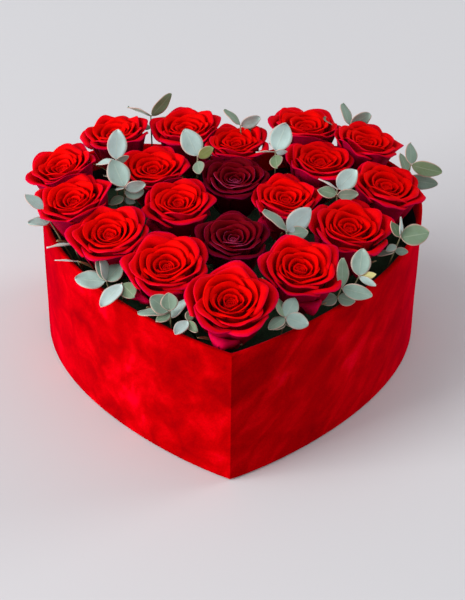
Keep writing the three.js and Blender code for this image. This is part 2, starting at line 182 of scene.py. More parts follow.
# The way that a leaf without roll faces.
LEAF_FACE = Vector((0, -0.5, 0.85))


# ================================================================ materials
# The colour attribute that keeps three numbers at each point: how far along a petal, sepal or leaf,
# how far to its side, and a petal's layer, 1 on a sepal, or a leaf's tone.
MARKS = "marks"


def opaque(value):
    """A node's socket as it is, or a colour with its alpha."""
    return value if isinstance(value, bpy.types.NodeSocket) else (*value, 1)


class Shader:
    """A material with its Principled shader, and short ways to add nodes to it."""

    def __init__(self, name, roughness, **inputs):
        self.material = bpy.data.materials.new(name)
        self.material.use_nodes = True
        self.tree = self.material.node_tree
        self.surface = self.tree.nodes["Principled BSDF"]
        self.surface.inputs["Roughness"].default_value = roughness
        for socket, value in inputs.items():
            self.surface.inputs[socket.replace("_", " ")].default_value = value
        self.place = self.add("ShaderNodeTexCoord").outputs["Object"]

    def add(self, kind, **settings):
        node = self.tree.nodes.new(kind)
        for setting, value in settings.items():
            setattr(node, setting, value)
        return node

    def feed(self, socket, value):
        if isinstance(value, bpy.types.NodeSocket):
            self.tree.links.new(value, socket)
        else:
            socket.default_value = value

    def stretch(self, vector, scale, turn=(0, 0, 0)):
        """The vector turned, then scaled."""
        for socket, value in (("Rotation", turn), ("Scale", scale)):
            mapping = self.add("ShaderNodeMapping")
            self.feed(mapping.inputs["Vector"], vector)
            mapping.inputs[socket].default_value = value
            vector = mapping.outputs["Vector"]
        return vector

    def noise(self, vector, scale, detail=3, roughness=0.5, distortion=0.0):
        node = self.add("ShaderNodeTexNoise")
        self.feed(node.inputs["Vector"], vector)
        for socket, value in (("Scale", scale), ("Detail", detail), ("Roughness", roughness),
                              ("Distortion", distortion)):
            node.inputs[socket].default_value = value
        return node.outputs["Fac"]

    def ramp(self, factor, stops):
        """Colours along a factor, from (position, colour) stops."""
        node = self.add("ShaderNodeValToRGB")
        self.feed(node.inputs["Fac"], factor)
        elements = node.color_ramp.elements
        while len(elements) < len(stops):
            elements.new(0.5)
        for element, (position, colour) in zip(elements, stops):
            element.position = position
            grey = isinstance(colour, (int, float))
            element.color = (colour, colour, colour, 1) if grey else (*colour, 1)
        return node.outputs["Color"]

    def mix(self, factor, first, second, blend="MIX"):
        node = self.add("ShaderNodeMix", data_type="RGBA", blend_type=blend)
        self.feed(node.inputs["Factor"], factor)
        for socket, value in ((node.inputs[6], first), (node.inputs[7], second)):
            self.feed(socket, opaque(value))
        return node.outputs[2]

    def maths(self, operation, first, second=0.0):
        node = self.add("ShaderNodeMath", operation=operation)
        self.feed(node.inputs[0], first)
        self.feed(node.inputs[1], second)
        return node.outputs[0]

    def plus(self, first, second):
        return self.maths("ADD", first, second)

    def times(self, first, second):
        return self.maths("MULTIPLY", first, second)

    def marks(self):
        """The three numbers that a mesh keeps at each of its points."""
        colour = self.add("ShaderNodeAttribute", attribute_name=MARKS).outputs["Color"]
        split = self.add("ShaderNodeSeparateColor")
        self.feed(split.inputs[0], colour)
        return split.outputs[0], split.outputs[1], split.outputs[2]

    def colour(self, value):
        self.feed(self.surface.inputs["Base Color"], opaque(value))

    def bump(self, height, strength, distance):
        node = self.add("ShaderNodeBump")
        node.inputs["Strength"].default_value = strength
        node.inputs["Distance"].default_value = distance
        self.feed(node.inputs["Height"], height)
        self.feed(self.surface.inputs["Normal"], node.outputs["Normal"])


def velvet_material():
    """Brushed red velvet: the pile lies in soft slanting strokes, lighter or darker, partly its own nap and
    partly painted sheen; the palest, pinkish strokes are painted sheen highlights.
    """
    shader = Shader("red_velvet", 0.9, Sheen_Weight=1.0, Sheen_Roughness=0.36,
                    Sheen_Tint=(1.0, 0.0, 0.035, 1), Specular_IOR_Level=0.0)
    brushed = shader.stretch(shader.place, (1, 1, 1), (0, 0, math.radians(-45)))
    slanted = shader.stretch(brushed, (26, 46, 60), (0, math.radians(45), 0))
    strokes = shader.noise(slanted, 1.0, 3, 0.55, 0.5)
    patches = shader.noise(shader.stretch(shader.place, (19, 19, 24)), 1.0, 2, 0.5, 0.3)
    pile = shader.noise(shader.place, 900, 2)
    nap_and_sheen = shader.plus(shader.times(strokes, 0.6), shader.times(patches, 0.4))
    # Colour from the strokes: darker and lighter red pile, partly its own nap and partly painted sheen; the
    # top stop, pale and pinkish, is a painted sheen highlight.
    base = shader.ramp(nap_and_sheen, [(0.36, (0.29, 0.0, 0.0005)), (0.5, (0.45, 0.0, 0.0005)),
                             (0.60, (0.63, 0.0, 0.002)), (0.68, (0.80, 0.0, 0.012))])
    speckle = shader.ramp(pile, [(0.3, 0.78), (0.7, 1.0)])
    shader.colour(shader.mix(1.0, base, speckle, "MULTIPLY"))
    shader.bump(shader.plus(shader.times(pile, 0.3), shader.times(nap_and_sheen, 2.0)), 0.35, 0.0006)
    return shader.material


def board_material():
    """Greyboard, with fibres."""
    shader = Shader("greyboard", 0.92)
    fibres = shader.noise(shader.stretch(shader.place, (400, 400, 1500)), 1.0, 4)
    shader.colour(shader.ramp(fibres, [(0.3, (0.24, 0.20, 0.16)), (0.7, (0.36, 0.31, 0.26))]))
    shader.bump(fibres, 0.3, 0.0002)
    return shader.material


def paper_material(name, dark, light):
    shader = Shader(name, 0.82)
    fibres = shader.noise(shader.place, 700, 4)
    shader.colour(shader.ramp(fibres, [(0.3, dark), (0.7, light)]))
    shader.bump(fibres, 0.2, 0.0001)
    return shader.material


def tray_material():
    """Thin black plastic, faintly rippled and scuffed."""
    shader = Shader("tray_plastic", 0.3)
    scuffs = shader.noise(shader.stretch(shader.place, (60, 60, 200)), 1.0, 5, 0.6)
    shader.colour(shader.ramp(scuffs, [(0.35, (0.008, 0.010, 0.012)), (0.7, (0.022, 0.026, 0.030))]))
    shader.feed(shader.surface.inputs["Roughness"], shader.ramp(scuffs, [(0.3, 0.24), (0.7, 0.42)]))
    shader.bump(shader.noise(shader.place, 45, 2), 0.15, 0.0008)
    return shader.material


def foam_material():
    """Soaked floral foam: fine pores in dark green."""
    shader = Shader("floral_foam", 0.95)
    pores = shader.noise(shader.place, 1400, 3, 0.7)
    clouds = shader.noise(shader.place, 60, 3)
    base = shader.ramp(pores, [(0.35, (0.006, 0.022, 0.008)), (0.65, (0.030, 0.085, 0.032))])
    tone = shader.ramp(clouds, [(0.3, 0.7), (0.7, 1.0)])
    shader.colour(shader.mix(1.0, base, tone, "MULTIPLY"))
    shader.bump(shader.plus(pores, shader.times(clouds, 0.6)), 0.8, 0.0006)
    return shader.material


def petal_material(name, cup_shade, full, lip_highlight, outer, outer_rim, sheen):
    """A petal: painted shade deep in the cup, full above, with a painted highlight on its rim; the outer
    layers turn to the outer colours, partly their own older tone and partly painted shade, and the sheen is a
    colour too."""
    shader = Shader(name, 0.6, Sheen_Weight=0.18, Sheen_Roughness=0.4, Sheen_Tint=(*sheen, 1),
                    Specular_IOR_Level=0.02, Subsurface_Weight=0.3, Subsurface_Scale=0.003,
                    Subsurface_Radius=(1.0, 0.1, 0.1))
    along, side, layer = shader.marks()
    mottle = shader.noise(shader.place, 130, 3)
    # Painted shade: darker low on the petal, deep in the cup; painted highlight: lighter at the rim of the
    # lip.
    body = shader.ramp(along, [(0.15, cup_shade), (0.62, full), (0.92, full), (1.0, lip_highlight)])
    # The outer layers turn darker and more purple: partly their own older tone, partly painted shade under
    # the bloom and on the outside of the cup.
    old_and_shaded = shader.ramp(along, [(0.15, cup_shade), (0.55, outer), (0.86, outer), (1.0, outer_rim)])
    outer_body = shader.mix(shader.ramp(layer, [(0.55, 0.0), (0.83, 0.8), (1.0, 1.0)]), body, old_and_shaded)
    # The outer layers' rims and the guard petals take the outer rim colour: partly their own tone, partly
    # painted shade.
    brink = shader.times(shader.ramp(along, [(0.82, 0.0), (1.0, 1.0)]),
                         shader.ramp(layer, [(0.60, 0.0), (0.83, 0.22), (1.0, 0.8)]))
    guard = shader.ramp(layer, [(0.9, 0.0), (1.0, 0.75)])
    aged_and_shaded = shader.mix(shader.maths("MAXIMUM", brink, guard), outer_body, outer_rim)
    tone = shader.ramp(mottle, [(0.3, 0.80), (0.7, 1.0)])
    shader.colour(shader.mix(1.0, aged_and_shaded, tone, "MULTIPLY"))
    veins_place = shader.add("ShaderNodeCombineXYZ")
    for socket, mark, finer in zip(veins_place.inputs, (side, along, layer), (30.0, 3.0, 60.0)):
        shader.feed(socket, shader.times(mark, finer))
    veins = shader.noise(veins_place.outputs[0], 1.0, 2)
    shader.bump(shader.plus(veins, shader.times(mottle, 0.6)), 0.35, 0.0005)
    return shader.material


def stem_material():
    """Streaked green, which dries to straw at a sepal's tip."""
    shader = Shader("rose_stem", 0.5, Specular_IOR_Level=0.4)
    streaks = shader.noise(shader.stretch(shader.place, (500, 500, 40)), 1.0, 3)
    along, _, sepal = shader.marks()
    green = shader.ramp(streaks, [(0.3, (0.045, 0.11, 0.02)), (0.7, (0.11, 0.22, 0.045))])
    dry = shader.ramp(streaks, [(0.3, (0.32, 0.24, 0.08)), (0.7, (0.60, 0.46, 0.26))])
    dried = shader.times(shader.ramp(along, [(0.40, 0.0), (0.88, 1.0)]), sepal)
    shader.colour(shader.mix(dried, green, dry))
    shader.bump(streaks, 0.3, 0.0003)
    return shader.material


def leaf_material():
    """Waxy leaves, coloured by each leaf's tone, with a midrib, veins and a pinkish edge."""
    shader = Shader("eucalyptus_leaf", 0.6, Sheen_Weight=0.15, Sheen_Roughness=0.5,
                    Sheen_Tint=(0.85, 0.95, 0.9, 1), Specular_IOR_Level=0.25)
    along, side, tone = shader.marks()
    clouds = shader.noise(shader.place, 150, 4, 0.65)
    shade = shader.plus(shader.times(tone, 0.5), shader.times(clouds, 0.16))
    blade = shader.ramp(shade, [(0.05, (0.13, 0.19, 0.085)), (0.30, (0.24, 0.34, 0.28)),
                                (0.55, (0.50, 0.64, 0.62)), (0.78, (0.16, 0.30, 0.05)),
                                (1.0, (0.66, 0.60, 0.24))])
    slant = shader.maths("SUBTRACT", shader.times(along, 9.0), shader.times(side, 2.4))
    wave = shader.maths("ABSOLUTE", shader.maths("SINE", shader.times(slant, math.pi)))
    vein = shader.ramp(wave, [(0.0, 1.0), (0.16, 0.0)])
    midrib = shader.ramp(side, [(0.0, 1.0), (0.07, 0.0)])
    lines = shader.maths("MAXIMUM", midrib, shader.times(vein, 0.28))
    lined = shader.mix(shader.times(lines, 0.25), blade, (0.62, 0.66, 0.50))
    edge = shader.times(shader.ramp(side, [(0.84, 0.0), (1.0, 1.0)]), 0.75)
    shader.colour(shader.mix(edge, lined, (0.62, 0.36, 0.30)))
    shader.bump(shader.plus(lines, shader.times(clouds, 0.5)), 0.35, 0.0003)
    return shader.material


def twig_material():
    shader = Shader("eucalyptus_twig", 0.55)
    streaks = shader.noise(shader.stretch(shader.place, (300, 300, 60)), 1.0, 3)
    shader.colour(shader.ramp(streaks, [(0.3, (0.09, 0.11, 0.05)), (0.7, (0.26, 0.20, 0.10))]))
    shader.bump(streaks, 0.3, 0.0002)
    return shader.material


VELVET_LOOK = velvet_material()
BOARD_LOOK = board_material()
LINING_LOOK = paper_material("black_paper", (0.006, 0.005, 0.006), (0.016, 0.014, 0.016))
SHEET_LOOK = paper_material("base_paper", (0.014, 0.014, 0.015), (0.03, 0.03, 0.032))
TRAY_LOOK = tray_material()
FOAM_LOOK = foam_material()
# A petal's back comes first, as its faces point away from the bloom's middle.
# The backs are darker than the insides: painted shade on the petals' undersides and on the outside of the
# cup.
RED_LOOKS = [
    petal_material("red_petal_back", (0.30, 0.0, 0.006), (0.70, 0.0, 0.001), (0.80, 0.001, 0.003),
                   (0.22, 0.0, 0.036), (0.38, 0.0, 0.05), (1.0, 0.0, 0.08)),
    petal_material("red_petal_inside", (0.50, 0.0, 0.001), (0.92, 0.0005, 0.0), (0.97, 0.004, 0.0),
                   (0.80, 0.0, 0.008), (0.58, 0.0, 0.060), (1.0, 0.0, 0.01)),
]
# Burgundy likewise: the darker backs are painted shade, and the pale pinkish rims are painted highlights.
DARK_LOOKS = [
    petal_material("burgundy_petal_back", (0.030, 0.0, 0.002), (0.11, 0.0, 0.004), (0.40, 0.03, 0.10),
                   (0.070, 0.0, 0.010), (0.11, 0.0, 0.03), (0.9, 0.0, 0.08)),
    petal_material("burgundy_petal_inside", (0.045, 0.0, 0.002), (0.17, 0.0, 0.004), (0.26, 0.002, 0.020),
                   (0.12, 0.0, 0.006), (0.14, 0.0, 0.03), (0.9, 0.0, 0.06)),
]
STEM_LOOK = stem_material()
LEAF_LOOK = leaf_material()
TWIG_LOOK = twig_material()


# ================================================================ meshes
def new_piece(name, vertices, faces, looks, marks=None, sharp=None):
    """A mesh piece with its looks, its marks, and edges left sharp past an angle in degrees."""
    mesh = bpy.data.meshes.new(name)
    mesh.from_pydata([tuple(v) for v in vertices], [], [tuple(f) for f in faces])
    for look in looks:
        mesh.materials.append(look)
    if marks is not None:
        layer = mesh.color_attributes.new(MARKS, "FLOAT_COLOR", "POINT")
        padded = np.ones((len(vertices), 4), np.float32)
        padded[:, :3] = marks
        layer.data.foreach_set("color", padded.ravel())
    mesh.shade_smooth()
    if sharp is not None:
        mesh.set_sharp_from_angle(angle=math.radians(sharp))
    piece = bpy.data.objects.new(name, mesh)
    bpy.context.scene.collection.objects.link(piece)
    return piece


def thicken(piece, thickness, next_look=0):
    """Turns a sheet into a closed shell, half of it on each side; the far side takes a later look."""
    solidify = piece.modifiers.new("thickness", "SOLIDIFY")
    solidify.thickness = thickness
    solidify.offset = 0
    solidify.material_offset = next_look


def stand_for(piece, node, body):
    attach(piece, body)
    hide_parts(node)


def tube_faces(levels, sides, start=0):
    """The faces of a closed tube, given as rings of points: round its side, then its two ends."""
    faces = []
    for level in range(levels - 1):
        low, high = start + level * sides, start + (level + 1) * sides
        for k in range(sides):
            after = (k + 1) % sides
            faces.append((low + k, low + after, high + after, high + k))
    top = start + (levels - 1) * sides
    faces.append(tuple(range(start, start + sides))[::-1])
    faces.append(tuple(range(top, top + sides)))
    return faces


def bezier(points, count, last=False):
    """Points along a cubic Bezier curve and the directions there."""
    ends = np.array(points, float)
    t = np.linspace(0, 1, count + 1)[:, None]
    t = t if last else t[:-1]
    weights = np.hstack([(1 - t) ** 3, 3 * t * (1 - t) ** 2, 3 * t * t * (1 - t), t ** 3])
    slopes = np.hstack([(1 - t) ** 2, 2 * t * (1 - t), t * t])
    along = slopes @ (ends[1:] - ends[:-1])
    return weights @ ends, along / np.linalg.norm(along, axis=1)[:, None]


def heart_outline(side_steps, lobe_steps):
    """The heart's outline and, at each point, the step that moves it inwards by one."""
    tip = (0, -HALF_DEPTH)
    widest = (HALF_WIDTH, WIDEST_Y)
    lobe_top = (LOBE_TOP_X, HALF_DEPTH)
    from_tip = (TIP_HANDLE * math.cos(TIP_ANGLE), tip[1] + TIP_HANDLE * math.sin(TIP_ANGLE))
    to_notch = (NOTCH_HANDLE[0], NOTCH_Y + NOTCH_HANDLE[1])
    runs = [
        bezier([tip, from_tip, (HALF_WIDTH, WIDEST_Y - SIDE_HANDLE), widest], side_steps),
        bezier([widest, (HALF_WIDTH, WIDEST_Y + LOBE_HANDLE), (LOBE_TOP_X + LOBE_HANDLE, HALF_DEPTH),
                lobe_top], lobe_steps),
        bezier([lobe_top, (LOBE_TOP_X - LOBE_HANDLE, HALF_DEPTH), to_notch, (0, NOTCH_Y)],
               lobe_steps, last=True),
    ]
    points = np.vstack([run[0] for run in runs])
    along = np.vstack([run[1] for run in runs])
    inward = np.stack([-along[:, 1], along[:, 0]], axis=1)
    inward[0] = (0, 1 / along[0, 0])
    inward[-1] = (0, 1 / along[-1, 0])
    mirrored = slice(-2, 0, -1)
    flip = np.array([-1, 1])
    return np.vstack([points, points[mirrored] * flip]), np.vstack([inward, inward[mirrored] * flip])


OUTLINE, INWARD = heart_outline(48, 26)


def inset(distance):
    return OUTLINE + INWARD * distance


def inside_heart(points, distance):
    """Which of the points lie inside the outline moved inwards by a distance."""
    ring = inset(distance)
    after = np.roll(ring, -1, axis=0)
    inside = np.zeros(len(points), bool)
    x, y = points[:, 0], points[:, 1]
    for (ax, ay), (bx, by) in zip(ring, after):
        if ay == by:
            continue
        crosses = (ay > y) != (by > y)
        inside ^= crosses & (x < (bx - ax) * (y - ay) / (by - ay) + ax)
    return inside


def rounded(path, radius, steps=4):
    """A path of (inset, height) corners with each inner corner rounded to a radius."""
    corners = [np.array(p, float) for p in path]
    smooth = [corners[0]]
    for before, corner, after in zip(corners, corners[1:], corners[2:]):
        back = (before - corner) / np.linalg.norm(before - corner)
        on = (after - corner) / np.linalg.norm(after - corner)
        start, end = corner + back * radius, corner + on * radius
        for s in np.linspace(0, 1, steps + 1):
            smooth.append(start * (1 - s) ** 2 + corner * 2 * s * (1 - s) + end * s * s)
    smooth.append(corners[-1])
    return smooth


def subdivided(path, longest):
    """The same path with no step longer than a length."""
    fine = [path[0]]
    for start, end in zip(path, path[1:]):
        count = max(1, math.ceil(np.linalg.norm(end - start) / longest))
        fine.extend(start + (end - start) * s for s in np.linspace(0, 1, count + 1)[1:])
    return fine


def band_loop(path, thickness):
    """The closed section of a band that follows a path: out along one side and back on the other."""
    points = np.array(path)
    along = np.gradient(points, axis=0)
    along /= np.linalg.norm(along, axis=1)[:, None]
    across = np.stack([-along[:, 1], along[:, 0]], axis=1) * thickness / 2
    return np.vstack([points + across, (points - across)[::-1]])


def sweep(section):
    """A closed section of (inset, height) points swept round the heart: vertices and faces."""
    section = np.array(section)
    around, across = len(OUTLINE), len(section)
    plan = OUTLINE[:, None, :] + INWARD[:, None, :] * section[None, :, 0, None]
    heights = np.broadcast_to(section[None, :, 1, None], (around, across, 1))
    vertices = np.concatenate([plan, heights], axis=2).reshape(-1, 3)
    faces = []
    for i in range(around):
        j = (i + 1) % around
        for k in range(across):
            m = (k + 1) % across
            faces.append((i * across + k, j * across + k, j * across + m, i * across + m))
    return vertices, faces


def slab(levels):
    """A heart-shaped solid through (inset, height) levels, capped below and above."""
    around = len(OUTLINE)
    rings = [np.column_stack([inset(edge), np.full(around, height)]) for edge, height in levels]
    return np.vstack(rings), tube_faces(len(rings), around)


def face_up(section):
    """The section turned so that its swept faces point out."""
    points = np.array(section)
    after = np.roll(points, -1, axis=0)
    area = np.sum(points[:, 0] * after[:, 1] - after[:, 0] * points[:, 1])
    return points if area < 0 else points[::-1]


# ================================================================ box
RIPPLE = 0.16 * MM
RIPPLE_EDGE = 12 * MM


def make_velvet():
    """One sheet, glued under the base, up the outside, over the rim and down the inside."""
    low = BOX_LOW.z + VELVET / 2
    high = RIM - VELVET / 2
    middle = VELVET / 2
    path = [(TURN_UNDER, low), (middle, low), (middle, high), (BOX_INNER - middle, high),
            (BOX_INNER - middle, TURN_IN_BOTTOM)]
    section = face_up(band_loop(subdivided(rounded(path, 1.1 * MM), 3 * MM), VELVET))
    vertices, faces = sweep(section)
    piece = new_piece("velvet_wrap", ripple(vertices), faces, [VELVET_LOOK], sharp=40)
    stand_for(piece, "velvet_cover", "box")


def ripple(vertices):
    """Lets the glued velvet lie a hair uneven on its outer face."""
    x, y, z = vertices.T
    outer = ~inside_heart(vertices[:, :2], 0.45 * MM) & (z > 3 * MM) & (z < RIM - 3 * MM)
    angle = np.arctan2(y, x)
    wave = np.sin(11 * angle + 38 * z) * np.sin(52 * z + 3 * angle) + 0.6 * np.sin(23 * angle - 61 * z + 1.3)
    fade = np.clip((RIM - z) / RIPPLE_EDGE, 0, 1) * np.clip(z / RIPPLE_EDGE, 0, 1)
    push = np.where(outer, wave * fade * RIPPLE, 0)
    size = np.hypot(x, y)
    moved = vertices.copy()
    moved[:, 0] += push * x / size
    moved[:, 1] += push * y / size
    return moved


def make_box():
    """The board wall, its velvet and lining, the base board and the paper under it."""
    board_low, board_high = (corner.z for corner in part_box("wall_board"))
    base_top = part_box("base_board")[1].z
    wall = face_up([(WALL_OUTER, board_low), (WALL_INNER, board_low), (WALL_INNER, board_high),
                    (WALL_OUTER, board_high)])
    wall = new_piece("wall_core", *sweep(wall), [BOARD_LOOK], sharp=40)
    stand_for(wall, "wall_board", "box")
    make_velvet()
    low, high = base_top + GAP, TURN_IN_BOTTOM - GAP
    face = TURN_IN_OUTER + LINING
    lining = face_up([(TURN_IN_OUTER, low), (face, low), (face, high), (TURN_IN_OUTER, high)])
    lining = new_piece("paper_lining", *sweep(lining), [LINING_LOOK], sharp=40)
    stand_for(lining, "inner_lining", "box")
    base = slab([(WALL_INNER + GAP, board_low), (WALL_INNER + GAP, base_top)])
    base = new_piece("base_core", *base, [LINING_LOOK], sharp=40)
    stand_for(base, "base_board", "box")
    sheet_edge = 6 * MM
    sheet = slab([(sheet_edge, 0), (sheet_edge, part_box("base_sheet")[1].z)])
    sheet = new_piece("base_paper", *sheet, [SHEET_LOOK], sharp=40)
    stand_for(sheet, "base_sheet", "box")


def make_tray():
    """The water tray: a wall with a lip and the floor's edge, swept round, and the floor in it."""
    low, high = (corner.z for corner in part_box("liner_tray"))
    lip = 1.2 * MM
    middle = TRAY_WALL / 2
    side = TRAY_INSET + middle
    path = rounded([(TRAY_INSET + 16 * MM, low + middle), (side, low + middle), (side, high - middle),
                    (side - lip, high - middle)], 0.9 * MM)
    vertices, faces = sweep(face_up(band_loop(subdivided(path, 8 * MM), TRAY_WALL)))
    edge = TRAY_INSET + 15.9 * MM
    floor, floor_faces = slab([(edge, low), (edge, low + TRAY_WALL)])
    count = len(vertices)
    faces = faces + [tuple(count + i for i in face) for face in floor_faces]
    piece = new_piece("water_tray", np.vstack([vertices, floor]), faces, [TRAY_LOOK], sharp=40)
    stand_for(piece, "liner_tray", "insert")


def make_foam():
    """The foam, its upper edge worn round."""
    low, high = (corner.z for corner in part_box("foam_block"))
    worn = 2.5 * MM
    levels = [(FOAM_INSET, low), (FOAM_INSET, high - worn),
              (FOAM_INSET + 0.3 * worn, high - 0.35 * worn), (FOAM_INSET + worn, high)]
    piece = new_piece("wet_foam", *slab(levels), [FOAM_LOOK], sharp=50)
    stand_for(piece, "foam_block", "insert")


# ================================================================ roses
# Rings of petals from the bud outwards: petals, rim radius and rim height (in shares of the bloom's
# radius and height), the rim's lean outwards in degrees, and in shares of the bloom's radius its
# roll's radius and length and the tip's length. The last ring is the guard petals, which hang.
RINGS = [
    (3, 0.140, 0.865, -5, 0.028, 0.045, 0.00),
    (3, 0.245, 0.890, -2, 0.038, 0.070, 0.00),
    (3, 0.370, 0.920, 4, 0.052, 0.100, 0.00),
    (4, 0.510, 0.940, 10, 0.070, 0.130, 0.02),
    (5, 0.670, 0.945, 13, 0.075, 0.150, 0.05),
    (5, 0.815, 0.895, 15, 0.075, 0.150, 0.12),
    (2, 0.690, 0.600, 6, 0.050, 0.280, 0.220),
]
ACROSS = np.linspace(-1, 1, 17)
UP_ROWS = 9
ROLL_ROWS = 8
OVERLAP = 1.45
GUARD_REACH = math.radians(40)
FOLD_LIMIT = math.radians(155)
GOLDEN = math.radians(137.5)
PETAL_THICKNESS = 0.55 * MM
PRESS_DEPTH = 5 * MM
PRESS_OVERLAP = 1.5 * MM
RIM_CLEARANCE = 1.0 * MM
BUD_LAPS = 2.4
BUD_FOOT = 0.45
BUD_ROWS = np.array([0.0, 0.3, 0.6, 0.8, 0.9, 0.95, 0.98, 1.0])[:, None]


def cup_rows(layer, rim_r, rim_z, tilt):
    """A petal up to its rim: a cup that bulges low down, then follows the rim's lean."""
    t = np.linspace(0, 1, UP_ROWS)[:, None]
    hub = 0.06 + 0.12 * layer
    rise = 0.36 * rim_z
    bulge = hub + (0.9 - 0.35 * layer) * (rim_r - hub)
    knots_r = [np.full_like(rim_r, hub), bulge, rim_r - rise * np.tan(tilt), rim_r]
    knots_z = [np.full_like(rim_z, 0.03), np.full_like(rim_z, 0.16 + 0.12 * (1 - layer)),
               rim_z - rise, rim_z]
    weights = [(1 - t) ** 3, 3 * t * (1 - t) ** 2, 3 * t * t * (1 - t), t ** 3]
    return sum(w * k for w, k in zip(weights, knots_r)), sum(w * k for w, k in zip(weights, knots_z))


def roll_rows(rim_r, rim_z, tilt, length, bend):
    """A petal past its rim: it rolls outwards, no further than the fold's limit."""
    steps = (np.arange(ROLL_ROWS)[:, None] + 0.5) / ROLL_ROWS
    leaning = tilt + np.minimum(steps * length * bend, FOLD_LIMIT)
    return (rim_r + np.cumsum(np.sin(leaning), axis=0) * length / ROLL_ROWS,
            rim_z + np.cumsum(np.cos(leaning), axis=0) * length / ROLL_ROWS)


def petal_sheet(rng, ring, turn):
    """One petal of a bloom of radius 1 that faces up: a grid of points and its marks."""
    count, radius, height, lean, roll_radius, roll, tip = RINGS[ring]
    layer = ring / (len(RINGS) - 1)
    guard = layer == 1
    reach = GUARD_REACH if guard else math.pi / count * OVERLAP
    u = ACROSS
    side = np.abs(u)
    rim_radius = radius * (1 + rng.uniform(-0.04, 0.04))
    rim_height = HEAD_HEIGHT * (height + rng.uniform(-0.02, 0.02))
    shift = rng.uniform(-0.12, 0.12)
    # The rim's line across the petal: lower at the sides, one of which lies over the next petal.
    lap = rng.uniform(0, math.tau)
    wavy = 0.012 + 0.021 * layer
    rim_z = rim_height - (0.05 + 0.10 * layer) * side ** 2.2 + wavy * np.sin(4.2 * u + lap)
    pinch = (0.02 + 0.13 * layer) * side ** 1.3
    rim_r = rim_radius * (1 + (0.05 + 0.05 * layer) * u - pinch) + wavy * 0.8 * np.sin(5.3 * u + 2 * lap)
    tilt = np.radians(lean + rng.uniform(-5, 5)) + 0.10 * np.sin(2.6 * u + 1.3 * lap)
    # The roll is tighter at the sides, which leaves a blunt point in the middle.
    length = roll * (1 - 0.35 * side ** 2) * rng.uniform(0.85, 1.15)
    length = length + tip * np.clip(1 - np.abs(u - shift) * 1.15, 0, 1) ** 1.4
    bend = (0.60 + 0.85 * side ** 1.8) / roll_radius * rng.uniform(0.75, 1.1)
    r, z = (np.vstack(rows) for rows in zip(cup_rows(layer, rim_r, rim_z, tilt),
                                            roll_rows(rim_r, rim_z, tilt, length, bend)))
    v = np.linspace(0, 1, len(r))[:, None] * np.ones_like(u)
    flutter = (0.005 + 0.017 * layer) * v ** 4
    z = z + flutter * np.sin(8.1 * u + 2.3 * lap) + flutter * np.sin(3.7 * u - lap)
    widening = 0.62 + 0.38 * np.sin(np.clip(v * 1.25, 0, 1) * math.pi / 2)
    width = reach * (widening - 0.10 * np.clip(v - 0.8, 0, 1) * 5)
    if guard:
        width = width * (1 - 0.6 * np.clip((v - 0.55) / 0.45, 0, 1))
    angle = turn + width * u + 0.015 * np.sin(9 * v + lap)
    points = np.stack([r * np.cos(angle), r * np.sin(angle), z], axis=2)
    marks = np.stack([v, np.broadcast_to(side, v.shape), np.full_like(v, layer)], axis=2)
    return points.reshape(-1, 3), marks.reshape(-1, 3)


def bud_sheet(turn):
    """The bud: one long petal wound up, its rim a little lower in the middle."""
    along = np.linspace(0, 1, 61)
    up = BUD_ROWS
    angle = turn + along * BUD_LAPS * math.tau
    r = 0.016 + 0.085 * along ** 0.9
    top = HEAD_HEIGHT * (0.835 + 0.022 * along) + 0.008 * np.sin(3 * angle)
    z = BUD_FOOT + (top - BUD_FOOT) * up
    open_r = r * (0.75 + 0.25 * up) + 0.010 * np.clip(up - 0.9, 0, 1) * 10 * (0.3 + along)
    points = np.stack([open_r * np.cos(angle), open_r * np.sin(angle), z], axis=2)
    side = np.broadcast_to(along, z.shape)
    marks = np.stack([0.55 + 0.45 * up * np.ones_like(along), side, np.zeros_like(z)], axis=2)
    return points.reshape(-1, 3), marks.reshape(-1, 3), up.shape[0], len(along)


def grid_faces(rows, columns, start):
    """The faces of a grid of points whose first point has the number start."""
    faces = []
    for row in range(rows - 1):
        for column in range(columns - 1):
            corner = start + row * columns + column
            faces.append((corner, corner + 1, corner + columns + 1, corner + columns))
    return faces


def bloom_petals(rng):
    """A whole bloom of radius 1: the bud, then ring after ring of petals."""
    turn = rng.uniform(0, math.tau)
    points, marks, rows, columns = bud_sheet(turn)
    points, marks = [points], [marks]
    faces = grid_faces(rows, columns, 0)
    start = rows * columns
    for ring, (count, *_) in enumerate(RINGS):
        for _ in range(count):
            sheet, mark = petal_sheet(rng, ring, turn)
            points.append(sheet)
            marks.append(mark)
            faces.extend(grid_faces(UP_ROWS + ROLL_ROWS, len(ACROSS), start))
            start += len(sheet)
            turn += math.tau / count * (1 + rng.uniform(-0.07, 0.07))
        turn += GOLDEN
    return np.vstack(points), np.vstack(marks), faces


def last_heading(points):
    """The way that a bloom's last petal faces, seen from above."""
    x, y = points[-len(ACROSS) * (UP_ROWS + ROLL_ROWS):, :2].mean(axis=0)
    return math.atan2(y, x)


def rose_frame(number):
    """The bloom's base, facing and radius, measured on its CAD head and stem."""
    stem = np.array([v.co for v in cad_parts[f"rose_{number:02d}_stem"].data.vertices])
    middle = stem.mean(axis=0)
    spread = np.linalg.svd(stem - middle)[2][0]
    axis = Vector(spread if spread[2] > 0 else -spread)
    heights = (stem - middle) @ np.array(axis)
    base = Vector(middle) + axis * (heights.max() + GAP)
    foot = Vector(middle) + axis * heights.min()
    head = np.array([v.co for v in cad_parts[f"rose_{number:02d}_head"].data.vertices])
    tall = ((head - np.array(base)) @ np.array(axis)).max()
    return {"base": base, "axis": axis, "foot": foot, "radius": tall / HEAD_HEIGHT}


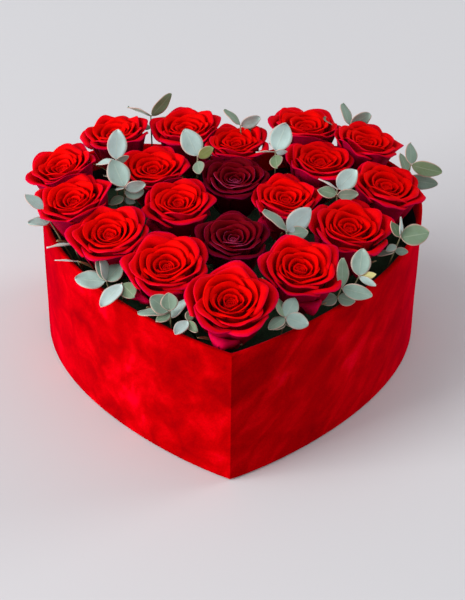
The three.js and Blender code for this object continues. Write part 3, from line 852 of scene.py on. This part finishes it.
def press_apart(points, centre, radius, neighbours):
    """Petals slow down and stop at the upright planes between a bloom and those beside it."""
    moved = points.copy()
    for other_centre, other_radius in neighbours:
        across = np.array((other_centre - centre).xy)
        distance = np.linalg.norm(across)
        if distance > radius + other_radius:
            continue
        across /= distance
        limit = distance * radius / (radius + other_radius) + PRESS_OVERLAP
        depth = (moved[:, :2] - np.array(centre.xy)) @ across - limit
        near = depth > -PRESS_DEPTH
        new_depth = -PRESS_DEPTH * np.exp(-(depth + PRESS_DEPTH) / PRESS_DEPTH)
        moved[:, :2] += np.where(near, new_depth - depth, 0)[:, None] * across
    return moved


def rest_on_rim(points):
    """What would pass through the box's wall lies over its rim instead."""
    clear = RIM + RIM_CLEARANCE
    low = (points[:, 2] < clear) & ~inside_heart(points[:, :2], BOX_INNER + RIM_CLEARANCE)
    moved = points.copy()
    moved[low, 2] = clear + (moved[low, 2] - clear) * 0.02
    return moved


def turned(points, base, axis, spin):
    """Points of an upright shape, spun, tilted to an axis and moved to a base."""
    turn = Vector((0, 0, 1)).rotation_difference(axis).to_matrix() @ Matrix.Rotation(spin, 3, "Z")
    return points @ np.array(turn).T + np.array(base)


def make_roses():
    places = {n: rose_frame(n) for n in range(1, ROSE_COUNT + 1)}
    tops = {n: p["base"] + p["axis"] * (p["radius"] * HEAD_HEIGHT) for n, p in places.items()}
    for number, place in places.items():
        rng = random.Random(100 + number)
        points, marks, faces = bloom_petals(rng)
        spin = rng.uniform(0, math.tau)
        if number == FRONT_ROSE:
            spin = FRONT_PETAL - last_heading(points)
        points = turned(points * place["radius"], place["base"], place["axis"], spin)
        neighbours = [(tops[n], places[n]["radius"]) for n in places if n != number]
        points = rest_on_rim(press_apart(points, tops[number], place["radius"], neighbours))
        dark = number in DARK_ROSES
        head = new_piece(f"bloom_{number:02d}", points, faces, DARK_LOOKS if dark else RED_LOOKS, marks)
        thicken(head, PETAL_THICKNESS, 1)
        stand_for(head, f"rose_{number:02d}_head", "insert")
        make_stem(number, place)
        make_calyx(number, place, rng)


# A stem from its foot to the hip under the bloom: share of its length, and radius in millimetres.
STEM_SHAPE = [
    (0.0, 0.6), (0.0, 3.0), (0.35, 2.9), (0.7, 3.1), (0.80, 3.2), (0.86, 4.2), (0.91, 6.2),
    (0.96, 6.9), (1.0, 5.6), (1.0, 0.5),
]
STEM_SIDES = 16


def make_stem(number, place):
    """A stem with its hip."""
    length = (place["base"] - place["foot"]).length
    points = []
    for share, width in STEM_SHAPE:
        for k in range(STEM_SIDES):
            angle = math.tau * k / STEM_SIDES
            radius = width * MM * (1 + 0.05 * math.sin(40 * share + angle))
            points.append((radius * math.cos(angle), radius * math.sin(angle), share * length))
    stem = turned(np.array(points), place["foot"], place["axis"], 0)
    faces = tube_faces(len(STEM_SHAPE), STEM_SIDES)
    piece = new_piece(f"stem_{number:02d}", stem, faces, [STEM_LOOK], np.zeros((len(points), 3)), sharp=50)
    stand_for(piece, f"rose_{number:02d}_stem", "insert")


def make_calyx(number, place, rng):
    """The sepals, which curl away under the bloom."""
    points, marks, faces = [], [], []
    rows, columns = 12, 5
    start_angle = FRONT_SEPAL if number == FRONT_ROSE else rng.uniform(0, math.tau)
    for leaf in range(SEPALS):
        heading = start_angle + math.tau * leaf / SEPALS + rng.uniform(-0.15, 0.15)
        reach = place["radius"] * rng.uniform(0.95, 1.15)
        curl = rng.uniform(0.6, 1.1)
        first = len(points)
        for s in np.linspace(0, 1, rows):
            out = RECEPTACLE * 0.75 + reach * (0.55 * s + 0.12 * curl * s ** 3)
            up = reach * (0.70 * s + 0.12 * s * s - 0.42 * (curl - 0.75) * s ** 3)
            half = 3.4 * MM * (1 - s) ** 0.75 * (0.75 + 0.9 * s) + 0.15 * MM
            for w in np.linspace(-1, 1, columns):
                x = out * math.cos(heading) - w * half * math.sin(heading)
                y = out * math.sin(heading) + w * half * math.cos(heading)
                points.append((x, y, up + 1.0 * MM * w * w * (1 - s)))
                marks.append((s, abs(w), 1))
        faces.extend(grid_faces(rows, columns, first))
    seat = place["base"] - place["axis"] * 1.5 * MM
    sepals = rest_on_rim(turned(np.array(points), seat, place["axis"], 0))
    calyx = new_piece(f"calyx_{number:02d}", sepals, faces, [STEM_LOOK], np.array(marks))
    thicken(calyx, LEAF_THICKNESS)
    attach(calyx, "insert")


# ================================================================ eucalyptus
def tube(path, radii, sides, start):
    """A closed round tube along a path, whose first point has the number start."""
    points = []
    for index, (centre, radius) in enumerate(zip(path, radii)):
        ahead = path[min(index + 1, len(path) - 1)] - path[max(index - 1, 0)]
        turn = Vector((0, 0, 1)).rotation_difference(ahead).to_matrix()
        for k in range(sides):
            angle = math.tau * k / sides
            spoke = Vector((radius * math.cos(angle), radius * math.sin(angle), 0))
            points.append(centre + turn @ spoke)
    return points, tube_faces(len(path), sides, start)


def leaf_sheet(rng, base, leaf):
    """One oval leaf on a short stalk: a grid of points, lifted at its edges and bent along."""
    heading, rise, length, _, roll, tone, width_share = leaf
    length = length * MM
    heading, rise = math.radians(heading), math.radians(rise)
    way = Vector((math.cos(heading) * math.cos(rise), math.sin(heading) * math.cos(rise), math.sin(rise)))
    across = LEAF_FACE.cross(way).normalized()
    across = Matrix.Rotation(math.radians(roll), 3, way) @ across
    face = way.cross(across)
    rows, columns = 17, 9
    half = width_share * length / 2
    bend = rng.uniform(-0.02, 0.14)
    cup = rng.uniform(0.04, 0.20)
    twist = rng.uniform(-0.25, 0.25)
    points, marks = [], []
    for s in (1 - np.cos(np.linspace(0, math.pi, rows))) / 2:
        blade = max(0.0, (s - 0.05) / 0.95)
        oval = math.sin(math.pi * blade ** 0.9) ** 0.62 if 0 < blade < 1 else 0
        width = half * oval + 0.35 * MM * (1 - s)
        for w in np.linspace(-1, 1, columns):
            lift = cup * half * w * w - bend * length * s * s + twist * w * half * s
            ripple_lift = 0.02 * length * math.sin(9 * s + 3 * w) * abs(w)
            spot = base + way * (s * length) + across * (w * width) + face * (lift + ripple_lift)
            points.append(spot)
            marks.append((s, abs(w), tone))
    return points, marks, grid_faces(rows, columns, 0)


def make_sprigs():
    """Each sprig: its twigs as one piece that stands for the CAD sprig, and its leaves as another."""
    for number, (foot, twigs) in enumerate(SPRIGS, 1):
        rng = random.Random(500 + number)
        root = Vector((foot[0] * MM, foot[1] * MM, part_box("foam_block")[1].z - TWIG_IN_FOAM))
        stems, stem_faces = [], []
        leaves, marks, leaf_faces = [], [], []
        for (x, y, rise), blades in twigs:
            top = Vector((x * MM, y * MM, RIM + rise * MM))
            down = (root - top).normalized()
            bow = Vector((0, 0, 1)).cross(down)
            path = [root.lerp(top, s) + bow * math.sin(math.pi * s) * TWIG_BOW
                    for s in np.linspace(0, 1, TWIG_STEPS)]
            radii = np.linspace(TWIG_RADIUS, 0.55 * TWIG_RADIUS, TWIG_STEPS)
            points, faces = tube(path, radii, TWIG_SIDES, len(stems))
            stems.extend(points)
            stem_faces.extend(faces)
            for blade in blades:
                drop = blade[3]
                base = top + down * (drop * MM + 0.5 * MM)
                points, leaf_marks, faces = leaf_sheet(rng, base, blade)
                first = len(leaves)
                leaves.extend(points)
                marks.extend(leaf_marks)
                leaf_faces.extend(tuple(first + i for i in face) for face in faces)
        twig = new_piece(f"twig_{number:02d}", stems, stem_faces, [TWIG_LOOK])
        stand_for(twig, f"eucalyptus_{number:02d}", "insert")
        blades = new_piece(f"leaves_{number:02d}", leaves, leaf_faces, [LEAF_LOOK], np.array(marks))
        thicken(blades, LEAF_THICKNESS)
        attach(blades, "insert")


# ================================================================ studio
CAMERA_DISTANCE = 1.337
CAMERA_ELEVATION = math.radians(37.8)
CAMERA_AZIMUTH = math.radians(-0.36)
CAMERA_ROLL = math.radians(0.73)
CAMERA_TARGET = Vector((0.001, 0.004, 0.06))
CAMERA_LENS = 102
FLOOR_REACH = 14.0
FLOOR_COLOUR = (0.655, 0.65, 0.665)
SKY_COLOUR = (0.95, 0.96, 1.0, 1)
SKY_STRENGTH = 0.52
# Square area lights: place, the height over the middle that each aims at, size and power.
LIGHTS = {
    "key": ((-2.3, -0.7, 3.6), 0.08, 2.0, 50),
    "side": ((-3.85, -1.5, 1.05), 0.06, 2.0, 195),
    "back": ((3.2, 1.2, 1.4), 0.06, 1.6, 40),
}


def make_camera():
    level = math.cos(CAMERA_ELEVATION)
    back = Vector((math.sin(CAMERA_AZIMUTH) * level, -math.cos(CAMERA_AZIMUTH) * level,
                   math.sin(CAMERA_ELEVATION)))
    right = Vector((0, 0, 1)).cross(back).normalized()
    up = back.cross(right)
    turn = Matrix((right, up, back)).transposed() @ Matrix.Rotation(CAMERA_ROLL, 3, "Z")
    data = bpy.data.cameras.new("camera")
    data.lens = CAMERA_LENS
    camera = bpy.data.objects.new("camera", data)
    camera.matrix_world = Matrix.Translation(CAMERA_TARGET + back * CAMERA_DISTANCE) @ turn.to_4x4()
    bpy.context.scene.collection.objects.link(camera)
    bpy.context.scene.camera = camera


def make_light(name, place, aim_height, size, power):
    data = bpy.data.lights.new(name, "AREA")
    data.size = size
    data.energy = power
    light = bpy.data.objects.new(name, data)
    light.location = place
    aim = Vector((0, 0, aim_height)) - Vector(place)
    light.rotation_euler = aim.to_track_quat("-Z", "Y").to_euler()
    bpy.context.scene.collection.objects.link(light)


def make_studio():
    """A pale floor, an even sky and three soft lights."""
    floor_mesh = bpy.data.meshes.new("floor")
    corners = [(x * FLOOR_REACH, y * FLOOR_REACH, 0) for x, y in ((-1, -1), (1, -1), (1, 1), (-1, 1))]
    floor_mesh.from_pydata(corners, [], [(0, 1, 2, 3)])
    floor = bpy.data.objects.new("floor", floor_mesh)
    bpy.context.scene.collection.objects.link(floor)
    shader = Shader("studio_floor", 0.9, Specular_IOR_Level=0.1)
    shader.colour(FLOOR_COLOUR)
    floor_mesh.materials.append(shader.material)
    world = bpy.data.worlds.new("studio")
    world.use_nodes = True
    sky = world.node_tree.nodes["Background"]
    sky.inputs["Color"].default_value = SKY_COLOUR
    sky.inputs["Strength"].default_value = SKY_STRENGTH
    bpy.context.scene.world = world
    for name, settings in LIGHTS.items():
        make_light(name, *settings)
    bpy.context.scene.view_settings.view_transform = "Standard"


make_camera()
make_box()
make_tray()
make_foam()
make_roses()
make_sprigs()
make_studio()
